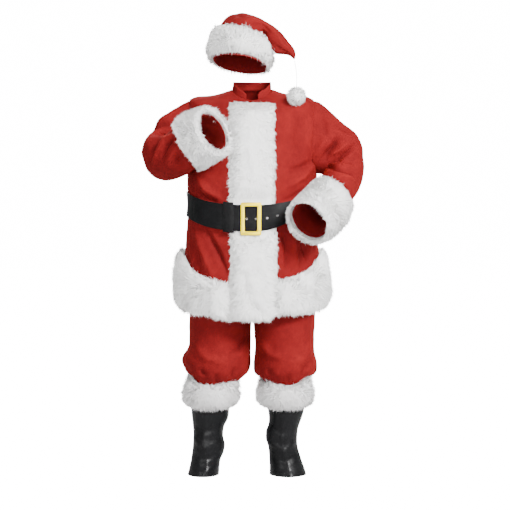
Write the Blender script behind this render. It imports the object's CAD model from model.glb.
# %% [markdown]
# A plush santa suit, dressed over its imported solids. Every piece here starts from the solid that holds its place,
# so the cloth, fur, vinyl and metal all sit where the model says, and each gets the surface the real one has.

from math import pi, radians, sin

import bmesh
import bpy
import numpy as np
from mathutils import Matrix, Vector, noise
from mathutils.bvhtree import BVHTree
from mathutils.kdtree import KDTree


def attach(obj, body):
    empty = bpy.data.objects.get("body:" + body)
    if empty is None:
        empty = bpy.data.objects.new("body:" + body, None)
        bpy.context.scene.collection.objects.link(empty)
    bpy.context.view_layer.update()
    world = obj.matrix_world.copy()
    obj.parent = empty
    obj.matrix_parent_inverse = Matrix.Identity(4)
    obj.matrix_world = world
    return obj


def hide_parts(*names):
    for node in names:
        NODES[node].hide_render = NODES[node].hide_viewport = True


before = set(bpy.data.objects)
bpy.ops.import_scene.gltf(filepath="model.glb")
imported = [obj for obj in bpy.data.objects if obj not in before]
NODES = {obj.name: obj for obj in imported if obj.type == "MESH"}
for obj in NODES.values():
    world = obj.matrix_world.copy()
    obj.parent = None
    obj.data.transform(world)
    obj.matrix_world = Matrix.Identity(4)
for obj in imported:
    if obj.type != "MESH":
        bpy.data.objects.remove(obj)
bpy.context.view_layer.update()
print("nodes:", len(NODES))

# %% [markdown]
# A tall thing keeps its proportions when it is seen from far off through a long lens, with the camera level. This
# camera stands about as high as the belt. The middle of the suit is lower than that, so the view is shifted down a
# little. Tilting the camera would do it too, but then upright lines would lean together.

# %% Camera
camera = bpy.data.objects.new("camera", bpy.data.cameras.new("camera"))
camera.data.lens, camera.data.sensor_width = 121, 36  # in millimetres
camera.data.shift_y = -0.071
camera.location = (0.0113, -6.5, -0.478)
camera.rotation_euler = (radians(90), 0, 0)
bpy.context.scene.collection.objects.link(camera)
bpy.context.scene.camera = camera
print("camera at", tuple(camera.location))

# %% [markdown]
# The pompom hangs on a thin cord from the hat's tip. A cord could be simulated, but a short one with a weight on it
# hangs nearly straight, so its points are worked out: a straight drop with a slight bow, as its solid has, and a last
# stretch that runs on to the middle of the pompom.

# %% Cord route
CORD_START = Vector((0.15966, -0.06233, 0.11557))
CORD_END = Vector((0.166, -0.0987, 0.0098))
CORD_BOW = Vector((0.004, -0.003, 0))
POMPOM_MIDDLE = Vector((0.166, -0.0987, -0.0202))
CORD_POINTS = 24
route = []
for i in range(CORD_POINTS):
    share = i / (CORD_POINTS - 1)
    route.append(CORD_START.lerp(CORD_END, share) + CORD_BOW * sin(pi * share))
route += [CORD_END.lerp(POMPOM_MIDDLE, share) for share in (0.25, 0.5, 0.75, 1)]

# %% [markdown]
# Materials are node trees. Two small helpers keep them readable: Value wraps a number socket so that sums can be
# written as sums, and Finish holds one material and adds any other node with one method.


# %% Shader helpers
class Value:
    """A number in a material. Each operator adds its Math node."""

    def __init__(self, finish, socket):
        self.finish, self.socket = finish, socket

    def maths(self, operation, a, b):
        return self.finish.node("Math", {"operation": operation}, {0: a, 1: b})

    def __add__(self, other):
        return self.maths("ADD", self, other)

    __radd__ = __add__

    def __mul__(self, other):
        return self.maths("MULTIPLY", self, other)

    __rmul__ = __mul__

    def __sub__(self, other):
        return self.maths("SUBTRACT", self, other)

    def __rsub__(self, other):
        return self.maths("SUBTRACT", other, self)


class Finish:
    """One material: constants go straight on its shader, and node() adds the rest."""

    def __init__(self, name, **constants):
        self.material = bpy.data.materials.new(name)
        self.material.use_nodes = True
        self.tree = self.material.node_tree
        self.shader = self.tree.nodes["Principled BSDF"]
        for socket, value in constants.items():
            self.shader.inputs[socket.replace("_", " ")].default_value = value
        self.place = self.node("TexCoord", out="Object")

    def node(self, kind, settings=None, values=None, out=0):
        made = self.tree.nodes.new("ShaderNode" + kind)
        for name, value in (settings or {}).items():
            if name == "stops":
                ramp = made.color_ramp
                while len(ramp.elements) < len(value):
                    ramp.elements.new(0.5)
                for stop, (position, color) in zip(ramp.elements, value):
                    stop.position, stop.color = position, (*color, 1)
            else:
                setattr(made, name, value)
        for name, value in (values or {}).items():
            self.set(made.inputs[name], value)
        return Value(self, made.outputs[out])

    def set(self, socket, value):
        if isinstance(value, Value):
            self.tree.links.new(value.socket, socket)
        else:
            socket.default_value = value

    def shade(self, **values):
        for name, value in values.items():
            self.set(self.shader.inputs[name.replace("_", " ")], value)
        return self.material

    def mottle(self, scale, detail, rough):
        """Soft noise from 0 to 1 at so many spots a metre."""
        values = {"Vector": self.place, "Scale": scale, "Detail": detail, "Roughness": rough}
        return self.node("TexNoise", {}, values, "Fac")

    def attribute(self, name):
        """A number that the mesh carries at each of its points."""
        return self.node("Attribute", {"attribute_name": name}, {}, "Fac")

    def blend(self, share, a, b):
        """A colour between two colours."""
        return self.node("Mix", {"data_type": "RGBA"}, {0: share, 6: a, 7: b}, 2)

    def ramp(self, share, stops):
        return self.node("ValToRGB", {"stops": stops}, {"Fac": share}, "Color")

    def bump(self, height, depth, strength):
        values = {"Height": height, "Distance": depth, "Strength": strength}
        return self.node("Bump", {}, values, "Normal")


# %% [markdown]
# Plush is a short dense pile. Its colour shifts with the way the pile lies: brushed patches look lighter or darker,
# and the cloth glows at its edges. Sheen gives the glow, and three sizes of noise give the brushed patches and the
# nap. In a crease the pile stands apart and looks nearly maroon, so the cloth carries an attribute called fold, 0 in
# the valleys, a half where it is flat and 1 on the ridges.

# %% Red plush
plush = Finish("red_plush_velour", Roughness=0.85, Sheen_Weight=0.20, Sheen_Roughness=0.4)
plush.shader.inputs["Sheen Tint"].default_value = (1.0, 0.05, 0.03, 1)
plush.shader.inputs["Specular IOR Level"].default_value = 0.05
brushed = plush.mottle(13, 3, 0.55)
nap = plush.mottle(420, 2, 0.6)
lie = plush.mottle(55, 3, 0.6)
crease = plush.attribute("fold") - 0.5
PLUSH_TONES = [
    # share, colour
    (0.10, (0.036, 0.0018, 0.0022)),
    (0.30, (0.120, 0.0070, 0.0074)),
    (0.50, (0.156, 0.0086, 0.0088)),
    (0.72, (0.200, 0.0115, 0.0110)),
]
tone = plush.ramp(brushed * 0.46 + lie * 0.34 + nap * 0.20 + crease * 0.46, PLUSH_TONES)
RED_PLUSH = plush.shade(Base_Color=tone, Normal=plush.bump(nap * 0.6 + lie * 0.9, 0.0016, 0.55))
print("plush nodes:", len(plush.tree.nodes))

# %% [markdown]
# The fur's backing shows between the locks as a soft woolly ground. The locks themselves carry an attribute called
# along, 0 at the root and 1 at the tip, so that the depth of the pile can be a little darker than its ends. Fur near
# the floor picks up dust, so the white greys from the hem down to the legs.

# %% White fur
DUST_BELOW = 0.9  # metres under the neck where the grey begins
DUST_RATE = 2.5  # how fast it grows, in shares a metre
DUSTY = (0.62, 0.60, 0.60, 1)
ground = Finish("white_fur_ground", Roughness=0.95, Sheen_Weight=0.25)
wool = ground.mottle(300, 4, 0.7)
wool_color = ground.ramp(wool, [(0.3, (0.80, 0.79, 0.775)), (0.7, (0.92, 0.915, 0.90))])
WHITE_GROUND = ground.shade(Base_Color=wool_color, Normal=ground.bump(wool, 0.004, 0.8))
fur = Finish("white_fur_locks", Roughness=0.8, Sheen_Weight=0.2)
height = fur.node("SeparateXYZ", {}, {"Vector": fur.place}, "Z")
clamped = {"operation": "MULTIPLY", "use_clamp": True}
dust = fur.node("Math", clamped, {0: height + DUST_BELOW, 1: -DUST_RATE})
PILE_TONES = [(0.1, (0.76, 0.75, 0.73)), (0.45, (0.93, 0.925, 0.91)), (0.9, (0.97, 0.965, 0.955))]
pile_color = fur.ramp(fur.attribute("along") * 0.8 + fur.mottle(28, 2, 0.5) * 0.3, PILE_TONES)
WHITE_LOCKS = fur.shade(Base_Color=fur.blend(dust, pile_color, DUSTY))
print("fur nodes:", len(ground.tree.nodes), "and", len(fur.tree.nodes))

# %% [markdown]
# The belt and the boot tops are vinyl: smooth black plastic with a fine leather grain pressed in. The grain is the
# pattern of the gaps between scattered cells, 700 of them to a metre. The boots are glossier than the belt, and their
# skin is more uneven.

# %% Black vinyl
VINYL_TONES = [(0.3, (0.0040, 0.0040, 0.0044)), (0.75, (0.0085, 0.0085, 0.0092))]


def vinyl(name, roughness, coat, uneven):
    skin = Finish(name, Coat_Weight=coat, Coat_Roughness=0.25, Specular_IOR_Level=0.09)
    cells = {"Vector": skin.place, "Scale": 700}
    grain = skin.node("TexVoronoi", {"feature": "DISTANCE_TO_EDGE"}, cells, "Distance")
    cloudy = skin.mottle(22, 4, 0.6)
    height = grain * 0.7 + skin.mottle(90, 3, 0.6) * uneven
    return skin.shade(
        Base_Color=skin.ramp(cloudy, VINYL_TONES),
        Roughness=cloudy * 0.22 + roughness,
        Normal=skin.bump(height, 0.0007, 0.5),
    )


BELT_VINYL = vinyl("belt_vinyl_black", roughness=0.36, coat=0.0, uneven=0.6)
BOOT_VINYL = vinyl("boot_vinyl_black", roughness=0.24, coat=0.10, uneven=1.4)
print("vinyls:", BELT_VINYL.name, BOOT_VINYL.name)

# %% [markdown]
# The buckle and the eyelets are plated metal. Plating is never quite even, so its gloss changes in small clouds and
# fine rubbing lines run along it.


# %% Plated metals
def plated(name, color, roughness, metallic):
    metal = Finish(name, Metallic=metallic, Specular_Tint=(*color, 1))
    clouds = metal.mottle(60, 3, 0.6)
    rubbed = metal.mottle(900, 2, 0.7)
    worn = [part * 0.86 for part in color]
    tint = metal.blend(clouds, (*worn, 1), (*color, 1))
    gloss = clouds * 0.12 + rubbed * 0.08 + roughness
    return metal.shade(Base_Color=tint, Roughness=gloss, Normal=metal.bump(rubbed, 0.0002, 0.25))


GOLD_PLATE = plated("gold_plate", (1.0, 0.77, 0.0), roughness=0.34, metallic=0.95)
SILVER_PLATE = plated("silver_plate", (0.85, 0.85, 0.86), roughness=0.16, metallic=1.0)
print("metals:", GOLD_PLATE.name, SILVER_PLATE.name)

# %% [markdown]
# Cloth is shaped along directions that make sense on a body: out from the middle of the torso, out from a leg, out
# from an arm. Each part of the garment gets a middle line, and out is away from the nearest point of that line.

# %% Middle lines of the body
TORSO = ((0, 0, 0.20), (0, 0, -1.00))
LEGS = {"left": ((0.126, 0, -0.60), (0.126, 0, -1.60)), "right": ((-0.14, 0, -0.60), (-0.165, 0, -1.60))}
SEAT = ((0, 0, -0.40), (0, 0, -0.95))
ARMS = {
    "left": ((0.246, 0, -0.176), (0.288, 0.004, -0.186), (0.324, 0.012, -0.213), (0.343, 0.012, -0.256),
             (0.344, -0.006, -0.300), (0.332, -0.050, -0.345), (0.304, -0.126, -0.388), (0.257, -0.222, -0.440),
             (0.202, -0.303, -0.490)),
    "right": ((-0.246, 0, -0.176), (-0.284, -0.004, -0.194), (-0.313, -0.020, -0.220), (-0.327, -0.055, -0.245),
              (-0.319, -0.103, -0.255), (-0.291, -0.152, -0.247), (-0.247, -0.204, -0.219), (-0.190, -0.254, -0.188),
              (-0.134, -0.300, -0.160)),
}
HAT = ((-0.044, -0.018, 0.106), (-0.045, 0.002, 0.195), (-0.019, 0.006, 0.240), (0.026, 0, 0.250),
       (0.077, -0.013, 0.224), (0.104, -0.026, 0.193), (0.130, -0.040, 0.162), (0.159, -0.061, 0.122))


def unit(vectors):
    return vectors / np.maximum(np.linalg.norm(vectors, axis=1), 1e-9)[:, None]


def dot(ways, others):
    return (ways * others).sum(axis=1)


def outward(points, line):
    """For each point, the unit vector away from the nearest point of the line."""
    best = np.full(len(points), np.inf)
    away = np.zeros_like(points)
    for a, b in zip(np.array(line[:-1], float), np.array(line[1:], float)):
        span = b - a
        share = np.clip((points - a) @ span / (span @ span), 0, 1)
        gap = points - (a + share[:, None] * span)
        far = np.linalg.norm(gap, axis=1)
        nearer = far < best
        best[nearer], away[nearer] = far[nearer], gap[nearer]
    return unit(away)


print("middle lines:", len(ARMS) + len(LEGS) + 3)

# %% [markdown]
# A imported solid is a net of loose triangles. A copy of it is welded, its triangles are joined back into four-sided
# faces, and a Subdivision Surface rounds it. That gives smooth cloth with enough points to take folds. Edges where
# the faces meet at a steep angle, such as the cut edges of a wall, are creased so that they stay sharp.

# %% Copies of the solids
FLAT_WITHIN = radians(50)  # triangles that turn less than this are one face or one smooth surface
CUT_EDGE = radians(58)  # an edge that turns more than this is a cut edge


def linked(name, mesh, material, crisp=False):
    """A new object in the scene. Crisp keeps its steep edges sharp in the shading."""
    mesh.materials.clear()
    mesh.materials.append(material)
    mesh.shade_smooth()
    if crisp:
        mesh.set_sharp_from_angle(angle=FLAT_WITHIN)
    made = bpy.data.objects.new(name, mesh)
    bpy.context.scene.collection.objects.link(made)
    return made


def finished(piece, node=None):
    """The piece goes in its solid's place, if it has one, on the suit's one body."""
    if node:
        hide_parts(node)
    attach(piece, "root")


def mesh_from(bm, name):
    mesh = bpy.data.meshes.new(name)
    bm.to_mesh(mesh)
    bm.free()
    return mesh


def welded(node, quads=True):
    """A bmesh of a node with its triangles welded, and joined into quads where they can be."""
    bm = bmesh.new()
    bm.from_mesh(NODES[node].data)
    bmesh.ops.remove_doubles(bm, verts=bm.verts, dist=1e-6)
    if quads:
        limits = {"angle_face_threshold": FLAT_WITHIN, "angle_shape_threshold": radians(60)}
        bmesh.ops.join_triangles(bm, faces=bm.faces, **limits)
    return bm


def refined(node, levels):
    """The node's mesh, rounded by subdivision."""
    bm = welded(node)
    crease = bm.edges.layers.float.new("crease_edge")
    for edge in bm.edges:
        if len(edge.link_faces) == 2 and edge.calc_face_angle(0) > CUT_EDGE:
            edge[crease] = 1.0
    mesh = mesh_from(bm, node)
    if not levels:
        return mesh
    helper = bpy.data.objects.new(node + "_helper", mesh)
    bpy.context.scene.collection.objects.link(helper)
    rounded = helper.modifiers.new("round", "SUBSURF")
    rounded.levels = rounded.render_levels = levels
    graph = bpy.context.evaluated_depsgraph_get()
    finer = bpy.data.meshes.new_from_object(helper.evaluated_get(graph))
    bpy.data.objects.remove(helper)
    return finer


def points_of(mesh, what="co"):
    """The place of each point as an array, or its normal."""
    values = np.empty(len(mesh.vertices) * 3, np.float32)
    mesh.vertices.foreach_get(what, values)
    return values.reshape(-1, 3).astype(float)


def put_points(mesh, points):
    mesh.vertices.foreach_set("co", points.astype(np.float32).ravel())
    mesh.update()


# %% [markdown]
# Swells and folds are drawn as paths over the front or the back of the suit. A drawing in small squares is easier to
# write down than metres, so the paths are in columns and rows of such a grid, with the rows counted downwards.

# %% A grid to draw on
SQUARE = 0.00378  # metres
NECK_COLUMN = 252
TOP = 0.34866  # the height of row 0 over the neck, in metres


def drawn(spots):
    """A path of x and z in metres from spots of column and row."""
    return np.array([((column - NECK_COLUMN) * SQUARE, TOP - row * SQUARE) for column, row in spots])


def near(points, path):
    """How far each point, seen from the front, is from the drawn path, and how far along the path that is."""
    flat, line = points[:, [0, 2]], drawn(path)
    reach, along, done = np.full(len(flat), np.inf), np.zeros(len(flat)), 0.0
    for a, b in zip(line[:-1], line[1:]):
        span = b - a
        length = np.linalg.norm(span)
        share = np.clip((flat - a) @ span / length**2, 0, 1)
        gap = np.linalg.norm(flat - (a + share[:, None] * span), axis=1)
        nearer = gap < reach
        reach[nearer], along[nearer] = gap[nearer], (done + share * length)[nearer]
        done += length
    return reach, along / done


print("neck at column", NECK_COLUMN, "and row", round(TOP / SQUARE))

# %% [markdown]
# Worn cloth does not keep to plain tubes: it stands off in a few large soft swells, over the shoulders, at the elbows
# and where the trousers blouse, and vinyl boots swell and dent round the ankle. A swell pushes every point near its
# path the same way, whatever piece the point is on, so the seams stay shut. The forearms are far in front of the rest
# and have folds of their own, so the swells fade out before them.

# %% Swells
SWELLS_END = -0.24  # the y where they have faded out
SWELLS_FADE = 0.08  # over how far they fade
SWELLS = [
    # reach and push across and up in millimetres, path
    (45, (-8, 18), (196, 104), (182, 111), (170, 122)),
    (35, (-14, 10), (162, 130), (157, 138)),
    (30, (-14, 3), (148, 145), (145, 152)),
    (40, (3, 17), (302, 100), (316, 106)),
    (35, (14, 5), (352, 138), (358, 148)),
    (28, (-15, 0), (184, 357), (186, 359)),
    (24, (19, 4), (189, 381), (191, 386)),
    (24, (-19, 4), (310, 381), (308, 386)),
    (18, (-10, 6), (249, 381), (247, 386)),
    (18, (10, 6), (257, 381), (259, 386)),
    (20, (-12, -14), (271, 40), (279, 49)),
    (20, (8, 0), (224, 415), (224, 418)),
    (24, (12, 0), (222, 446), (222, 452)),
    (22, (-10, 0), (269, 432), (269, 438)),
]


def faded(values, start, over):
    """A share that grows from 0 at the start to 1 as far on as over says, which is negative for a way down."""
    return np.clip((values - start) / over, 0, 1)


def swelled(points):
    """The points moved by every swell."""
    moved = points.copy()
    kept = faded(points[:, 1], SWELLS_END, SWELLS_FADE)
    for wide, push, *path in SWELLS:
        reach, _ = near(points, path)
        moved[:, [0, 2]] += (np.exp(-((reach / (wide / 1000)) ** 2)) * kept)[:, None] * (np.array(push) / 1000)
    return moved


print("swells:", len(SWELLS))

# %% [markdown]
# A fold could come from a cloth simulation. This suit is held in one pose, its pieces are sewn to each other and no
# body is inside for it to rest on, so the folds are drawn instead, as lines on the front or on the back. Cloth near a
# line is lifted along its own outward direction, least at the line's ends. A fold of less than nothing is a valley,
# and a ridge beside a valley makes a crease.

# %% Folds
FRONT, BACK = -1, 1  # which way along y that side of the suit faces
FOLD_SPAN = 0.034  # from the deepest valley to the highest ridge, for the plush's fold attribute


def fold_lift(points, away, folds):
    """How far each point is lifted."""
    lift = np.zeros(len(points))
    for side, width, high, *path in folds:
        faces = np.clip(away[:, 1] * side * 1.6 + 0.25, 0, 1)
        reach, along = near(points, path)
        fade = np.clip(np.sin(np.pi * np.clip(along, 0.02, 0.98)), 0, 1) ** 0.6
        lift += high / 1000 * np.exp(-((reach / (width / 1000)) ** 2)) * fade * faces
    return lift


def wander(points, scale, seed):
    """Slow noise at each point, from about -0.5 to 0.5."""
    shift = Vector((seed * 3.1, seed * 1.7, seed * 2.3))
    return np.array([noise.noise(Vector(p) * scale + shift) for p in points])


def sheet_area(piece):
    """Half of a wall's surface, in square metres."""
    return round(sum(face.area for face in piece.data.polygons) / 2, 3)


def drape(node, line, folds, levels=2, unrest=0.0022, material=RED_PLUSH):
    """A cloth piece: the node refined and moved by its folds and by an unevenness that its name seeds."""
    mesh = refined(node, levels)
    points = points_of(mesh)
    away = outward(points, line)
    lift = fold_lift(points, away, folds)
    folded = mesh.attributes.new("fold", "FLOAT", "POINT")
    folded.data.foreach_set("value", np.clip(0.5 + lift / FOLD_SPAN, 0, 1))
    lift += wander(points, 11, len(node)) * unrest * 2 + wander(points, 27, len(node) + 5) * unrest
    put_points(mesh, swelled(points + away * lift[:, None]))
    made = linked("cloth_" + node, mesh, material, crisp=True)
    finished(made, node)
    print(made.name, len(mesh.polygons), "faces,", sheet_area(made), "m2")


# %% [markdown]
# The jacket's two fronts and its back hang from the shoulders. Under the belt they fall in narrow upright folds, from
# the armpits they pull towards the belt, and the back has shallow bows across the shoulder blades. The fronts are
# rounded once more than the back, because their folds are narrower.

# %% Jacket
JACKET_FOLDS = [
    # side, width and height in millimetres, path
    (FRONT, 13, 14, (196, 232), (206, 255), (217, 282)),
    (FRONT, 11, -16, (206, 228), (219, 254), (229, 276)),
    (FRONT, 9, 8, (190, 238), (194, 262)),
    (FRONT, 9, -9, (197, 250), (202, 274)),
    (FRONT, 9, -15, (283, 232), (286, 250), (286, 270)),
    (FRONT, 9, 14, (291, 232), (293, 252), (296, 270)),
    (FRONT, 8, -14, (299, 234), (303, 248), (307, 260)),
    (FRONT, 8, 9, (308, 236), (310, 252)),
    (FRONT, 11, 10, (196, 176), (207, 190), (222, 200)),
    (FRONT, 9, -10, (194, 186), (206, 198), (218, 203)),
    (FRONT, 11, -8, (190, 168), (200, 172), (214, 170)),
    (FRONT, 11, 10, (316, 164), (302, 178), (284, 190)),
    (FRONT, 10, -10, (318, 158), (304, 167), (288, 173)),
    (FRONT, 9, -8, (306, 188), (292, 198), (282, 201)),
    (FRONT, 19, 9, (314, 118), (308, 140), (308, 158)),
    (FRONT, 17, -8, (301, 112), (297, 136), (298, 156)),
    (FRONT, 15, 6, (288, 108), (286, 140)),
    (BACK, 15, 14, (220, 232), (224, 262)),
    (BACK, 17, -13, (238, 232), (240, 268)),
    (BACK, 15, 13, (258, 232), (256, 266)),
    (BACK, 15, -11, (278, 232), (274, 262)),
    (BACK, 28, 11, (215, 150), (240, 170), (262, 172), (290, 150)),
    (BACK, 19, -10, (220, 185), (252, 196), (284, 185)),
    (BACK, 21, -9, (225, 118), (232, 150)),
    (BACK, 21, -9, (281, 118), (274, 150)),
]
JACKET_PANELS = {"jacket_front_left": 3, "jacket_front_right": 3, "jacket_back": 2, "jacket_neckband": 2}
for node, levels in JACKET_PANELS.items():
    drape(node, TORSO, JACKET_FOLDS, levels)

# %% [markdown]
# The neckband is sewn onto the neck edge, so its lower edge is tucked a little below that edge. Its two ends at the
# front are cut round, as a stand-up band's are.

# %% Neckband's edges
BAND_HEIGHT = 0.028
BAND_TUCK = 0.006  # how far the lower edge is pulled down
BAND_ROUND = 0.012  # how much lower the upper edge is at the two ends
NECK_EDGE = ((-0.0707, -0.0507, -0.0174, 0.072), (-0.0293, -0.0136, 0.0070, 0.0169))  # y, z
band = bpy.data.objects["cloth_jacket_neckband"].data
points = points_of(band)
foot = np.interp(points[:, 1], *NECK_EDGE)
up = faded(points[:, 2], foot, BAND_HEIGHT)
end = faded(np.abs(points[:, 0]), 0.038, -0.018) * (points[:, 1] < 0)
points[:, 2] -= (1 - up) * BAND_TUCK + up * end**2 * BAND_ROUND
put_points(band, points)
print("neckband from", round(points[:, 2].min(), 3), "to", round(points[:, 2].max(), 3))

# %% [markdown]
# Each sleeve is one tube from the armhole to inside its cuff. It creases hard on the inner side of the elbow, where
# the creases spread like a fan, and it has only shallow folds on the outer side.

# %% Sleeves
SLEEVE_FOLDS = {
    # side, width and height in millimetres, path
    "left": [
        (FRONT, 9, -21, (321, 163), (327, 154), (334, 145), (338, 136)),
        (FRONT, 13, 12, (314, 158), (320, 148), (326, 136)),
        (FRONT, 7, -17, (324, 163), (336, 161), (346, 153), (353, 146)),
        (FRONT, 9, 13, (328, 156), (338, 151), (346, 143)),
        (FRONT, 6, -18, (326, 167), (338, 171), (354, 176)),
        (FRONT, 7, 13, (328, 173), (340, 177), (354, 181)),
        (FRONT, 7, 12, (326, 164), (338, 166), (352, 166)),
        (FRONT, 7, -9, (338, 186), (348, 190)),
        (FRONT, 9, -7, (321, 112), (324, 124), (326, 138)),
        (FRONT, 9, -9, (338, 126), (348, 134)),
        (BACK, 13, 13, (318, 150), (336, 152), (354, 146)),
        (BACK, 11, -15, (322, 168), (340, 172), (356, 166)),
        (BACK, 14, -11, (316, 130), (332, 134), (346, 128)),
    ],
    "right": [
        (FRONT, 8, -13, (176, 129), (166, 129), (152, 135)),
        (FRONT, 8, -17, (176, 133), (165, 138), (158, 148), (152, 163)),
        (FRONT, 6, -17, (177, 140), (170, 148), (165, 160)),
        (FRONT, 8, 13, (178, 136), (168, 142), (160, 155), (157, 167)),
        (FRONT, 9, 10, (168, 134), (158, 139), (150, 150)),
        (FRONT, 8, 9, (180, 150), (174, 158), (170, 168)),
        (FRONT, 7, -11, (182, 158), (178, 166)),
        (FRONT, 11, 11, (180, 112), (170, 120), (160, 128)),
        (BACK, 13, 13, (186, 150), (166, 148), (150, 152)),
        (BACK, 11, -15, (186, 166), (168, 168), (152, 166)),
        (BACK, 14, -11, (188, 130), (170, 132), (158, 138)),
    ],
}
for side in ("left", "right"):
    drape(f"jacket_sleeve_{side}", ARMS[side], SLEEVE_FOLDS[side], 3)

# %% [markdown]
# The trousers blouse over their cuffs: the cloth is gathered there, so short soft dents run up from the fur and
# longer ones hang from the crotch.

# %% Trousers
TROUSER_FOLDS = [
    # side, width and height in millimetres, path
    (FRONT, 12, 11, (196, 345), (208, 356), (226, 360)),
    (FRONT, 8, -12, (200, 366), (206, 374)),
    (FRONT, 7, -12, (216, 370), (217, 381)),
    (FRONT, 8, -12, (236, 364), (232, 377)),
    (FRONT, 10, -9, (248, 335), (240, 348), (228, 352)),
    (FRONT, 11, 11, (258, 338), (270, 352), (284, 356)),
    (FRONT, 8, -12, (268, 366), (272, 378)),
    (FRONT, 7, -11, (288, 370), (288, 381)),
    (FRONT, 8, -12, (306, 362), (300, 376)),
    (FRONT, 12, 9, (312, 340), (304, 356), (292, 362)),
    (BACK, 14, 12, (205, 340), (220, 356), (240, 352)),
    (BACK, 14, 12, (300, 340), (285, 356), (264, 352)),
    (BACK, 9, -12, (215, 366), (215, 380)),
    (BACK, 9, -12, (288, 366), (288, 380)),
]
for side in ("left", "right"):
    for part in ("front", "back"):
        drape(f"trousers_{part}_{side}", LEGS[side], TROUSER_FOLDS)
drape("trousers_waistband", SEAT, [], levels=1, unrest=0.0)

# %% [markdown]
# The crown of the hat is one soft cone that falls over to the side. It creases where it bends and dimples on top.

# %% Hat crown
CROWN_FOLDS = [
    # side, width and height in millimetres, path
    (FRONT, 10, -10, (228, 22), (236, 15), (244, 20)),
    (FRONT, 10, 8, (240, 26), (252, 19), (262, 24)),
    (FRONT, 8, -10, (250, 26), (262, 26), (270, 34)),
    (FRONT, 8, 8, (262, 22), (274, 32), (284, 44)),
    (FRONT, 6, -7, (270, 38), (280, 46), (288, 55)),
    (BACK, 14, -11, (232, 30), (248, 20), (262, 26)),
]
drape("hat_crown", HAT, CROWN_FOLDS, unrest=0.0018)

# %% [markdown]
# The boot tops are loose vinyl tubes that wrinkle at the ankle and the calf. They are made as the cloth is, with
# shallower folds.

# %% Boot tops
BOOT_FOLDS = [
    # side, width and height in millimetres, path
    (FRONT, 7, -5, (194, 424), (206, 430), (220, 426)),
    (FRONT, 9, 6, (192, 436), (206, 446), (222, 440)),
    (FRONT, 7, -6, (190, 452), (204, 458), (222, 452)),
    (FRONT, 7, 5, (190, 466), (204, 470), (220, 464)),
    (FRONT, 8, 4, (206, 410), (204, 440), (208, 470)),
    (FRONT, 7, -5, (268, 424), (282, 432), (296, 424)),
    (FRONT, 8, 6, (268, 440), (284, 450), (296, 440)),
    (FRONT, 7, -6, (270, 456), (284, 460), (300, 452)),
    (FRONT, 6, 5, (274, 468), (288, 474), (304, 466)),
    (FRONT, 8, 4, (284, 410), (282, 440), (290, 472)),
    (BACK, 10, 6, (194, 436), (206, 442), (220, 436)),
    (BACK, 10, 6, (270, 436), (284, 442), (296, 436)),
]
for side in ("left", "right"):
    drape(f"boot_top_{side}", LEGS[side], BOOT_FOLDS, unrest=0.0012, material=BOOT_VINYL)

# %% [markdown]
# Long-pile fur is thousands of thin curved locks on a backing. Blender's hair could grow them, but a lock that is part
# of a plain mesh looks the same in every program, so one lock is made once, as a narrow strip that closes to a point,
# and it is repeated over the outer face of each trim's solid.


# %% One lock
def one_lock():
    """A strip two faces long: how far along and to which side each corner lies, and the faces."""
    bm = bmesh.new()
    bmesh.ops.create_grid(bm, x_segments=1, y_segments=2, size=0.5)
    top = [vert for vert in bm.verts if vert.co.y > 0.4]
    bmesh.ops.pointmerge(bm, verts=top, merge_co=(0, 0.5, 0))
    bm.verts.index_update()
    along = np.array([vert.co.y + 0.5 for vert in bm.verts])
    aside = np.array([vert.co.x * 2 for vert in bm.verts])
    faces = [[vert.index for vert in face.verts] for face in bm.faces]
    bm.free()
    return along, aside, faces


LOCK_ALONG, LOCK_ASIDE, LOCK_FACES = one_lock()
LOCK_WIDTH = 0.00115
print("one lock:", len(LOCK_ALONG), "points,", len(LOCK_FACES), "faces")

# %% [markdown]
# The locks stand evenly over the part of a trim's solid that shows: its outer face, the rims at its two sewn edges and,
# on a cuff, a stretch inside the mouth. Rays through the solid tell how deep the pile is at each place and how far off
# its edges are. Thin places get more locks, because short locks cover less.

# %% Where the locks stand
DEEPEST = 0.045  # no fur solid is thicker than this
WIDEST = 0.06  # an edge further off than this doesn't matter


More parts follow.
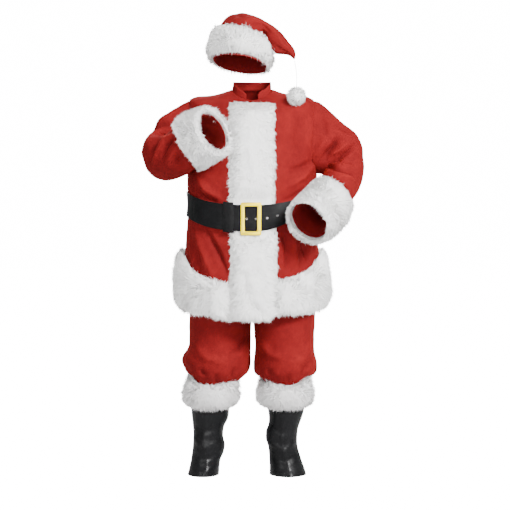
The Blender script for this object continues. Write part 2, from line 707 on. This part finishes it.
class Pile:
    """The face of a fur solid that carries its locks."""

    def __init__(self, node, line, across, turned_in):
        bm = welded(node, quads=False)
        bm.normal_update()
        self.tree = BVHTree.FromBMesh(bm)
        self.points = np.array([vert.co for vert in bm.verts])
        self.normals = np.array([vert.normal for vert in bm.verts])
        faces = np.array([[vert.index for vert in face.verts] for face in bm.faces])
        bm.free()
        corners = self.points[faces]
        middles = corners.mean(axis=1)
        sizes = np.cross(corners[:, 1] - corners[:, 0], corners[:, 2] - corners[:, 0])
        ways = unit(sizes)
        out = dot(ways, outward(middles, line))
        on_rim = (np.abs(ways @ across) > 0.35) & (out > -0.93)
        at_mouth = middles @ across > (self.points @ across).max() - turned_in
        shown = (out > -0.25) | on_rim | at_mouth
        self.faces = faces[shown]
        deep = self.depth(middles[shown], -ways[shown], DEEPEST)
        crowding = np.clip(0.034 / np.maximum(deep, 0.008), 1, 2.6)
        self.shares = np.linalg.norm(sizes[shown], axis=1) * crowding

    def scatter(self, count, draw):
        """Places spread evenly over the face, with the smooth normal there."""
        pick = draw.choice(len(self.faces), count, p=self.shares / self.shares.sum())
        u, v = draw.random(count), draw.random(count)
        over = u + v > 1
        u[over], v[over] = 1 - u[over], 1 - v[over]
        share = np.column_stack([1 - u - v, u, v])[:, :, None]
        corners = self.faces[pick]
        return (self.points[corners] * share).sum(axis=1), unit((self.normals[corners] * share).sum(axis=1))

    def depth(self, places, ways, most):
        """How far it is through the solid from each place along its way."""
        far = []
        for place, way in zip(places, ways):
            far.append(self.tree.ray_cast(Vector(place + way * 1e-4), Vector(way), most)[3] or most)
        return np.array(far)

    def edge(self, places, normals, across):
        """How far it is from each place to one edge of the trim and to the other."""
        inner = places - normals * 0.006
        ways = np.tile(np.array(across, float), (len(places), 1))
        return self.depth(inner, ways, WIDEST), self.depth(inner, -ways, WIDEST)


# %% [markdown]
# A lock is a curve with three points: its root inside the solid, a bend and a tip. Real pile gathers into clumps, so
# tips are drawn towards a few leading ones. Each lock is shaded mostly as the face under it is, which keeps the fur
# soft and bright instead of glittering, and for the same reason the locks cast no shadow on each other.


# %% Locks as one mesh
def clumped(roots, tips, draw, size, share):
    """Tips drawn towards the tip of the nearest of a few leading locks."""
    leaders = draw.choice(len(roots), max(len(roots) // size, 1), replace=False)
    tree = KDTree(len(leaders))
    for i, leader in enumerate(leaders):
        tree.insert(roots[leader], i)
    tree.balance()
    lead = leaders[[tree.find(root)[1] for root in roots]]
    return tips + (tips[lead] - tips) * share


def fur_mesh(name, roots, bends, tips, normals, width):
    """All the locks as one mesh, with an attribute that runs along each."""
    count, corners = len(roots), len(LOCK_ALONG)
    way = tips - roots
    draw = np.random.default_rng(7)
    side = unit(np.cross(way, unit(draw.normal(size=(count, 3))) + normals * 0.3))
    turned = dot(np.cross(side, way), normals) < 0
    side[turned] *= -1
    t = LOCK_ALONG[None, :, None]
    middle = roots[:, None] * (1 - t) ** 2 + bends[:, None] * 2 * t * (1 - t) + tips[:, None] * t * t
    taper = (1 - LOCK_ALONG) ** 0.6 * LOCK_ASIDE
    points = middle + side[:, None] * (taper[None, :, None] * width[:, None, None])
    faces = []
    for face in LOCK_FACES:
        faces += (np.arange(count)[:, None] * corners + np.array(face)).tolist()
    mesh = bpy.data.meshes.new(name)
    mesh.from_pydata(points.reshape(-1, 3).tolist(), [], faces)
    mesh.attributes.new("along", "FLOAT", "POINT").data.foreach_set("value", np.tile(LOCK_ALONG, count))
    made = linked(name, mesh, WHITE_LOCKS)
    astray = draw.normal(size=(count, 3)) * 0.3
    soft = unit(np.repeat(normals, corners, axis=0) + np.repeat(astray, corners, axis=0))
    mesh.normals_split_custom_set_from_vertices(soft.tolist())
    made.visible_shadow = False
    return made


# %% [markdown]
# Two things lie under or over the pile. The woolly ground is the trim's own solid, sunk a little below the tips so
# that it only shows between the locks. Where the belt presses on the front band, the locks under it are shortened.

# %% Under and over the locks
UNDER = 0.004  # how far under a cover the locks stay


def kept_under(roots, bends, tips, covers):
    """Locks that would stick through a cover are pressed down under it."""
    for node in covers:
        bm = welded(node)
        tree = BVHTree.FromBMesh(bm)
        bm.free()
        for i, (root, tip) in enumerate(zip(roots, tips)):
            way = tip - root
            far = float(np.linalg.norm(way))
            hit = tree.ray_cast(Vector(root), Vector(way), far + UNDER)[3]
            if hit is not None:
                share = max(hit - UNDER, 0.002) / far
                tips[i], bends[i] = root + way * share, root + (bends[i] - root) * share * 0.9


def woolly_ground(node, line, across, pile, shift):
    """The trim's backing, drawn in from its outer face and its rims."""
    mesh = refined(node, 1)
    points, facing = points_of(mesh), points_of(mesh, "normal")
    away = outward(points, line)
    out, ended = dot(facing, away), facing @ across
    deep = pile.depth(points, -away, DEEPEST)
    sink = np.where(out > 0.15, np.clip(deep * 0.55 - 0.002, 0, 0.018), 0)
    sink[out < -0.3] = -0.005
    pull = np.where((out > -0.5) & (np.abs(ended) > 0.3), ended * 0.012, 0)
    put_points(mesh, shift(points - away * sink[:, None] - pull[:, None] * across))
    return linked("ground_" + node, mesh, WHITE_GROUND)


# %% [markdown]
# A maker combs the pile downwards and trims it at the sewn edges. In code, a comb is a sum of ways that each lock
# leans: down, over the edges, and a slow swirl. Tips that pass an edge by too much are brought back, and so are tips
# that stand too far off the solid.

# %% Combing and trimming
SHORTEST = 0.017
PROUD = 0.010  # how far the longest locks may stand past the solid
RIM_LONGER = 0.010  # how much longer the locks on the rims are
ROOT_ROOM = 0.009  # roots keep this far from the inner face


def unmoved(points):
    return points


def furry(node, line, across, count, seed, down, ragged, most=0.036, turned_in=0.0, covers=(), combed=(2.0, 2.0),
          past=(0.002, 0.002), full=0.0, shift=unmoved):
    """A fur trim: its locks, and a woolly ground under them. across is the way from one sewn edge to the other.

    down and combed say how much the pile leans downwards and over those two edges, past how far its tips may pass
    them and ragged how unevenly. most is the longest lock, full is extra length that squares the trim's edges,
    turned_in is how far the fur goes on inside a mouth, and shift moves the finished trim.
    """
    draw = np.random.default_rng(seed)
    across = np.array(across, float)
    pile = Pile(node, line, across, turned_in)
    places, normals = pile.scatter(count, draw)
    away = outward(places, line)
    if not turned_in:
        inward = np.minimum(dot(normals, away), 0)
        normals = unit(normals - away * inward[:, None])

    # How long each lock is: as deep as the pile, longer on the rims and at the edges.
    rim = np.clip(np.abs(normals @ across) * 1.6 - 0.6, 0, 1)
    thick = pile.depth(places, -normals, DEEPEST)
    deep = np.minimum(np.maximum(thick - 0.006, thick * 0.5), most - rim * (most - 0.018))
    length = deep * draw.uniform(0.95, 1.2, count) + 0.003 + PROUD * draw.random(count) ** 3 + rim * RIM_LONGER
    length = np.maximum(length, SHORTEST * draw.uniform(0.8, 1.1, count))
    length = length * (1 + 0.3 * wander(places, 33, seed + 3))
    ahead, behind = pile.edge(places, normals, across)
    at_edge = np.exp(-np.minimum(ahead, behind) / 0.016) * dot(normals, away).clip(0, 1)
    length += full * at_edge
    normals = unit(normals + away * (at_edge * full * 90)[:, None])

    # Which way it leans.
    edge = (combed[0] * np.exp(-ahead / 0.013) - combed[1] * np.exp(-behind / 0.013))[:, None] * across
    swirl = np.column_stack([wander(places, 14, seed + 20 + i) for i in range(3)])
    lean = away * (draw.uniform(-0.5, 1.5, count) * rim)[:, None]
    comb = swirl * 0.8 + draw.normal(size=(count, 3)) * 0.25 + np.array([0, 0, -down]) + edge + lean
    comb -= normals * dot(comb, normals)[:, None]
    tuft = wander(places, 21, seed)[:, None] * normals * 0.007

    # Its root, bend and tip.
    roots = places - normals * deep[:, None]
    room = pile.depth(roots, -away, DEEPEST)
    roots += away * np.clip(ROOT_ROOM - room, 0, ROOT_ROOM)[:, None]
    bends = roots + normals * (length * 0.62)[:, None] + tuft
    tips = bends + unit(normals * 0.5 + comb) * (length * 0.5)[:, None]
    tips = clumped(roots, tips, draw, size=12, share=0.42)

    # What is brought back: tips too far off the solid, under a cover, or past an edge.
    beyond = dot(tips - places, normals) - 0.002 - (PROUD + RIM_LONGER * rim) * draw.random(count)
    tips -= normals * np.maximum(beyond, 0)[:, None]
    kept_under(roots, bends, tips, covers)
    spare = draw.random(count) * 0.7 + wander(places, 80, seed + 9) * 0.9 + wander(places, 190, seed) * 0.6 - 0.1
    spare *= ragged
    for ends, part in ((tips, 1.0), (bends, 0.6)):
        passed = (ends - places) @ across
        most_ahead, most_behind = ahead + part * (past[0] + spare), behind + part * (past[1] + spare)
        ends += (np.clip(passed, -most_behind, most_ahead) - passed)[:, None] * across

    widths = draw.uniform(0.75, 1.25, count) * LOCK_WIDTH
    locks = fur_mesh("locks_" + node, shift(roots), shift(bends), shift(tips), normals, widths)
    base = woolly_ground(node, line, across, pile, shift)
    finished(locks)
    finished(base, node)
    print(node, count, "locks; ground", sheet_area(base), "m2")
    return base, locks


# %% [markdown]
# The hem hangs unevenly, because the half with the closing band laps over the other half, and its upper edge dips in
# front and rises at the sides. A table says how much an edge is moved at each place across, and the move fades out
# towards the rest of the trim. The front band is moved with the hem it is sewn to.

# %% Uneven hem
HEM_LOWER = (
    (-0.25, -0.17, -0.11, 0.055, 0.080, 0.155, 0.23, 0.26),  # x
    (0.004, 0.024, 0.014, 0.014, 0.036, 0.026, 0.014, 0.004),  # rise
)
HEM_UPPER = (
    (-0.27, -0.245, -0.225, -0.17, -0.09, 0.08, 0.19, 0.225, 0.25, 0.27),  # x
    (0.018, 0.006, -0.014, -0.018, -0.020, -0.008, -0.008, -0.002, 0.012, 0.018),  # rise
)
BAND_MIDDLE = 0.004


def lower_edge(points):
    """The lowest part of the front, squeezed up to the hem's uneven edge."""
    x, y, z = points.T
    moved = points.copy()
    moved[:, 2] += np.interp(x, *HEM_LOWER) * faded(z, -0.75, -0.11) * faded(y, 0, -0.06)
    return moved


def hem_shift(points):
    """The hem's fur with both its edges moved."""
    x, y, z = points.T
    top = -0.615 - 0.07 * faded(y, 0, -0.2)
    moved = lower_edge(points)
    moved[:, 2] += np.interp(x, *HEM_UPPER) * (faded(z - top, -0.07, 0.06) * faded(y, 0.14, -0.14))
    return moved


def band_shift(points):
    """The front band, which hangs a little to one side below the belt and meets the hem's fur with full sides."""
    x, _, z = points.T
    moved = lower_edge(points)
    wider = 1 + 0.13 * faded(z, -0.67, -0.06)
    moved[:, 0] = BAND_MIDDLE + (x - BAND_MIDDLE) * wider + 0.006 * faded(z, -0.43, -0.07)
    return moved


# %% [markdown]
# A cuff is cut on a slant, so its sewn edge lies closer to the mouth on the outer side of the arm. The trousers blouse
# most in front and behind each leg, so the leg's fur is drawn up at its two sides, where the cloth curves away above.

# %% Slanted cuffs and leg fur
UP, SIDE = (0, 0, 1), (1, 0, 0)
ARM_WAYS = {side: (Vector(ARMS[side][-1]) - Vector(ARMS[side][-3])).normalized() for side in ARMS}
CUFF_SLANT = {"left": 0.047, "right": 0.062}
LEG_MIDDLES = {"left": 0.126, "right": -0.156}


def cuff_shift(side):
    """A cuff whose outer side is pushed towards its mouth, most at the sewn edge."""
    end, way = np.array(ARMS[side][-1]), np.array(ARM_WAYS[side])
    outer = np.array((0.0, -1.0, 0.0)) + way * way[1]
    outer /= np.linalg.norm(outer)

    def shift(points):
        along = (points - end) @ way
        aside = points - end - along[:, None] * way
        share = faded(aside @ outer, 0, 0.09) * faded(along, 0, -0.15)
        return points + way * (CUFF_SLANT[side] * share)[:, None]

    return shift


def leg_shift(points):
    """A leg's fur with its two sides raised and its upper edge drawn in."""
    x, _, z = points.T
    off = x - np.where(x > 0, LEG_MIDDLES["left"], LEG_MIDDLES["right"])
    aside = faded(np.abs(off), 0, 0.092) ** 2.6
    high, low = faded(z, -1.13, 0.035), faded(z, -1.16, -0.07)
    moved = points.copy()
    moved[:, 2] += 0.034 * aside * high - 0.006 * (1 - aside) * high + (0.006 + 0.028 * aside) * low
    moved[:, 0] -= np.sign(off) * 0.016 * aside * high
    return moved


print("cuffs slanted by", CUFF_SLANT)

# %% [markdown]
# Each trim has its own pile. The hem's is the longest and hangs down, the front band's is combed flat and stays
# inside its edges, the hat's lies close, and the cuffs' stands out on all sides and goes on inside the mouths.

# %% The trims
HAT_WAY = (Vector(HAT[1]) - Vector(HAT[0])).normalized()
BELT = ("belt_strap", "belt_keeper", "belt_buckle")
HEM = {"down": 0.6, "past": (0.005, 0.001), "ragged": 0.018, "full": 0.006, "shift": hem_shift}
BAND = {"most": 0.026, "down": 0.9, "covers": BELT, "past": (-0.009, -0.008), "ragged": 0.015, "shift": band_shift}
CUFF = {"down": 0.25, "turned_in": 0.026, "full": 0.008, "ragged": 0.016}
LEG = {"down": 0.6, "combed": (0.0, 1.5), "past": (-0.004, 0.002), "ragged": 0.018, "full": 0.004, "shift": leg_shift}
TRIMS = {
    "hem": furry("jacket_hem_fur", TORSO, UP, 50000, seed=1, **HEM),
    "front": furry("jacket_front_fur_band", TORSO, SIDE, 36000, seed=2, **BAND),
    "hat": furry("hat_fur_band", HAT, HAT_WAY, 26000, seed=8, down=0.15, past=(-0.018, 0.004), ragged=0.020),
}
for i, side in enumerate(("left", "right")):
    TRIMS["cuff_" + side] = furry(
        f"jacket_cuff_fur_{side}", ARMS[side], ARM_WAYS[side], 22000, seed=3 + i, shift=cuff_shift(side), **CUFF
    )
    TRIMS["leg_" + side] = furry(f"trousers_cuff_fur_{side}", LEGS[side], UP, 15000, seed=5 + i, **LEG)

# %% [markdown]
# The pompom is a round tuft of the same pile, so its locks all spring from the middle. A plain woolly ball inside
# keeps it from being seen through.

# %% Pompom
POMPOM_LOCKS = 5200
middle = np.array(POMPOM_MIDDLE)
draw = np.random.default_rng(11)
ways = unit(draw.normal(size=(POMPOM_LOCKS, 3)))
reach = draw.uniform(0.033, 0.0415, POMPOM_LOCKS)
roots = middle + ways * 0.014
tips = middle + ways * reach[:, None] + draw.normal(size=(POMPOM_LOCKS, 3)) * 0.002
tips = clumped(roots, tips, draw, size=9, share=0.4)
bends = (roots + tips) / 2 + draw.normal(size=(POMPOM_LOCKS, 3)) * 0.003
pompom = fur_mesh("pompom_locks", roots, bends, tips, ways, draw.uniform(0.8, 1.2, POMPOM_LOCKS) * 0.0011)
bm = bmesh.new()
bmesh.ops.create_icosphere(bm, subdivisions=4, radius=0.027)
bmesh.ops.translate(bm, verts=bm.verts, vec=POMPOM_MIDDLE)
ball = linked("pompom_ground", mesh_from(bm, "pompom_ground"), WHITE_GROUND)
finished(pompom)
finished(ball, "hat_pompom")
print("pompom:", POMPOM_LOCKS, "locks")

# %% [markdown]
# The cord is a curve with a round section along the route that was worked out at the start.

# %% Cord
CORD_WIDTH = 0.002
curve = bpy.data.curves.new("cord", "CURVE")
curve.dimensions = "3D"
curve.bevel_depth = CORD_WIDTH / 2
curve.bevel_resolution = 3
curve.use_fill_caps = True
spline = curve.splines.new("POLY")
spline.points.add(len(route) - 1)
for point, place in zip(spline.points, route):
    point.co = (*place, 1)
curve.materials.append(WHITE_GROUND)
cord = bpy.data.objects.new("cord_hat", curve)
bpy.context.scene.collection.objects.link(cord)
finished(cord, "hat_cord")
print("cord points:", len(route))

# %% [markdown]
# The belt, its keeper, the buckle and the eyelets are stiff pieces with cut edges. Their solids have the right shape,
# and a Bevel softens each edge so that it catches the light. The strap's free end climbs a little with the waist, and
# the eyelets climb with it.


# %% Belt and buckle
def belt_shift(points):
    """The strap's free end, drawn up, its lower edge most."""
    x, y, z = points.T
    moved = points.copy()
    moved[:, 2] += faded(x, 0.03, 0.11) ** 1.5 * faded(y, 0, -0.08) * (0.006 + 0.020 * faded(z, -0.42, -0.09))
    return moved


def eased_copy(name, node, material, width, angle=40, shift=unmoved):
    """The node as it is, with edges steeper than the angle softened to the width."""
    mesh = refined(node, 0)
    put_points(mesh, shift(points_of(mesh)))
    made = linked(name, mesh, material)
    bevel = made.modifiers.new("soft edges", "BEVEL")
    bevel.width, bevel.segments = width, 2
    bevel.limit_method, bevel.angle_limit = "ANGLE", radians(angle)
    bevel.harden_normals = True
    finished(made, node)
    print(name, "made from", node)


eased_copy("belt_strap_vinyl", "belt_strap", BELT_VINYL, 0.0008, shift=belt_shift)
eased_copy("belt_keeper_vinyl", "belt_keeper", BELT_VINYL, 0.0005)
eased_copy("belt_buckle_plate", "belt_buckle", GOLD_PLATE, 0.0006, angle=25)
for i in range(1, 6):
    eased_copy(f"eyelet_{i}", f"belt_eyelet_{i}", SILVER_PLATE, 0.0002, shift=belt_shift)

# %% [markdown]
# Every cloth piece is declared with the size it is cut to before it is sewn: across and along in metres, and the
# cut's own area where it is no rectangle. Fur trims are strips of pile fabric, sewn on with the pile outwards.

# %% Cuts of the cloth
TRIM_CUTS = {
    # across, along
    "hem": (0.16, 1.50), "front": (0.18, 0.80), "hat": (0.13, 0.66), "cuff_left": (0.17, 0.64),
    "cuff_right": (0.15, 0.60), "leg_left": (0.12, 0.60), "leg_right": (0.12, 0.60),
}
for name, cut in TRIM_CUTS.items():
    print(name, "trim cut", cut)

# %% [markdown]
# The suit stands in a pale studio. The floor is a plain disc under the feet. Only the camera sees the floor and the
# air glow: for all other light they are ordinary and dim, so that they don't wash out the shading of the suit.

# %% Floor and air
FLOOR = -1.53  # metres under the neck, just below the boot tops
SEEN, UNSEEN = 16.0, 0.5  # the strength of the air to the camera and to all other light
bm = bmesh.new()
bmesh.ops.create_circle(bm, cap_ends=True, segments=96, radius=30)
bmesh.ops.translate(bm, verts=bm.verts, vec=(0, 0, FLOOR))
pale = Finish("pale_floor", Roughness=0.9, Emission_Strength=SEEN)
glow = pale.blend(pale.node("LightPath", out="Is Camera Ray"), (0, 0, 0, 1), (1, 1, 1, 1))
disc = mesh_from(bm, "floor")
floor = linked("floor", disc, pale.shade(Base_Color=(0.5, 0.5, 0.5, 1), Emission_Color=glow))
world = bpy.data.worlds.new("studio")
bpy.context.scene.world = world
world.use_nodes = True
air = world.node_tree
air.nodes["Background"].inputs["Color"].default_value = (1, 1, 1, 1)
looked_at = air.nodes.new("ShaderNodeLightPath")
strength = air.nodes.new("ShaderNodeMix")
strength.inputs[2].default_value, strength.inputs[3].default_value = UNSEEN, SEEN
air.links.new(looked_at.outputs["Is Camera Ray"], strength.inputs[0])
air.links.new(strength.outputs[0], air.nodes["Background"].inputs["Strength"])
print("floor at", FLOOR)

# %% [markdown]
# A big soft light from the upper right shapes the folds. A weak one from the left keeps the shaded side open, a low
# one in front reaches under the hem and into the leg fur, and one behind lights the back.

# %% Lights
LIGHTS = {
    # place, aimed at, width, watts
    "key": ((3.2, -4.3, 2.7), (0, 0, -0.4), 1.6, 950),
    "fill": ((-3.2, -4.4, 0.9), (0, 0, -0.6), 2.4, 95),
    "front": ((0.5, -7.2, 0.1), (0, 0, -0.5), 2.2, 190),
    "back": ((-0.5, 4.5, 2.6), (0, 0, -0.5), 2.5, 260),
}
for name, (place, aim, width, watts) in LIGHTS.items():
    lamp = bpy.data.lights.new(name, "AREA")
    lamp.shape, lamp.size, lamp.energy = "DISK", width, watts
    made = bpy.data.objects.new(name, lamp)
    made.location = place
    made.rotation_euler = (Vector(aim) - Vector(place)).to_track_quat("-Z", "Y").to_euler()
    bpy.context.scene.collection.objects.link(made)
print("lights:", len(LIGHTS))
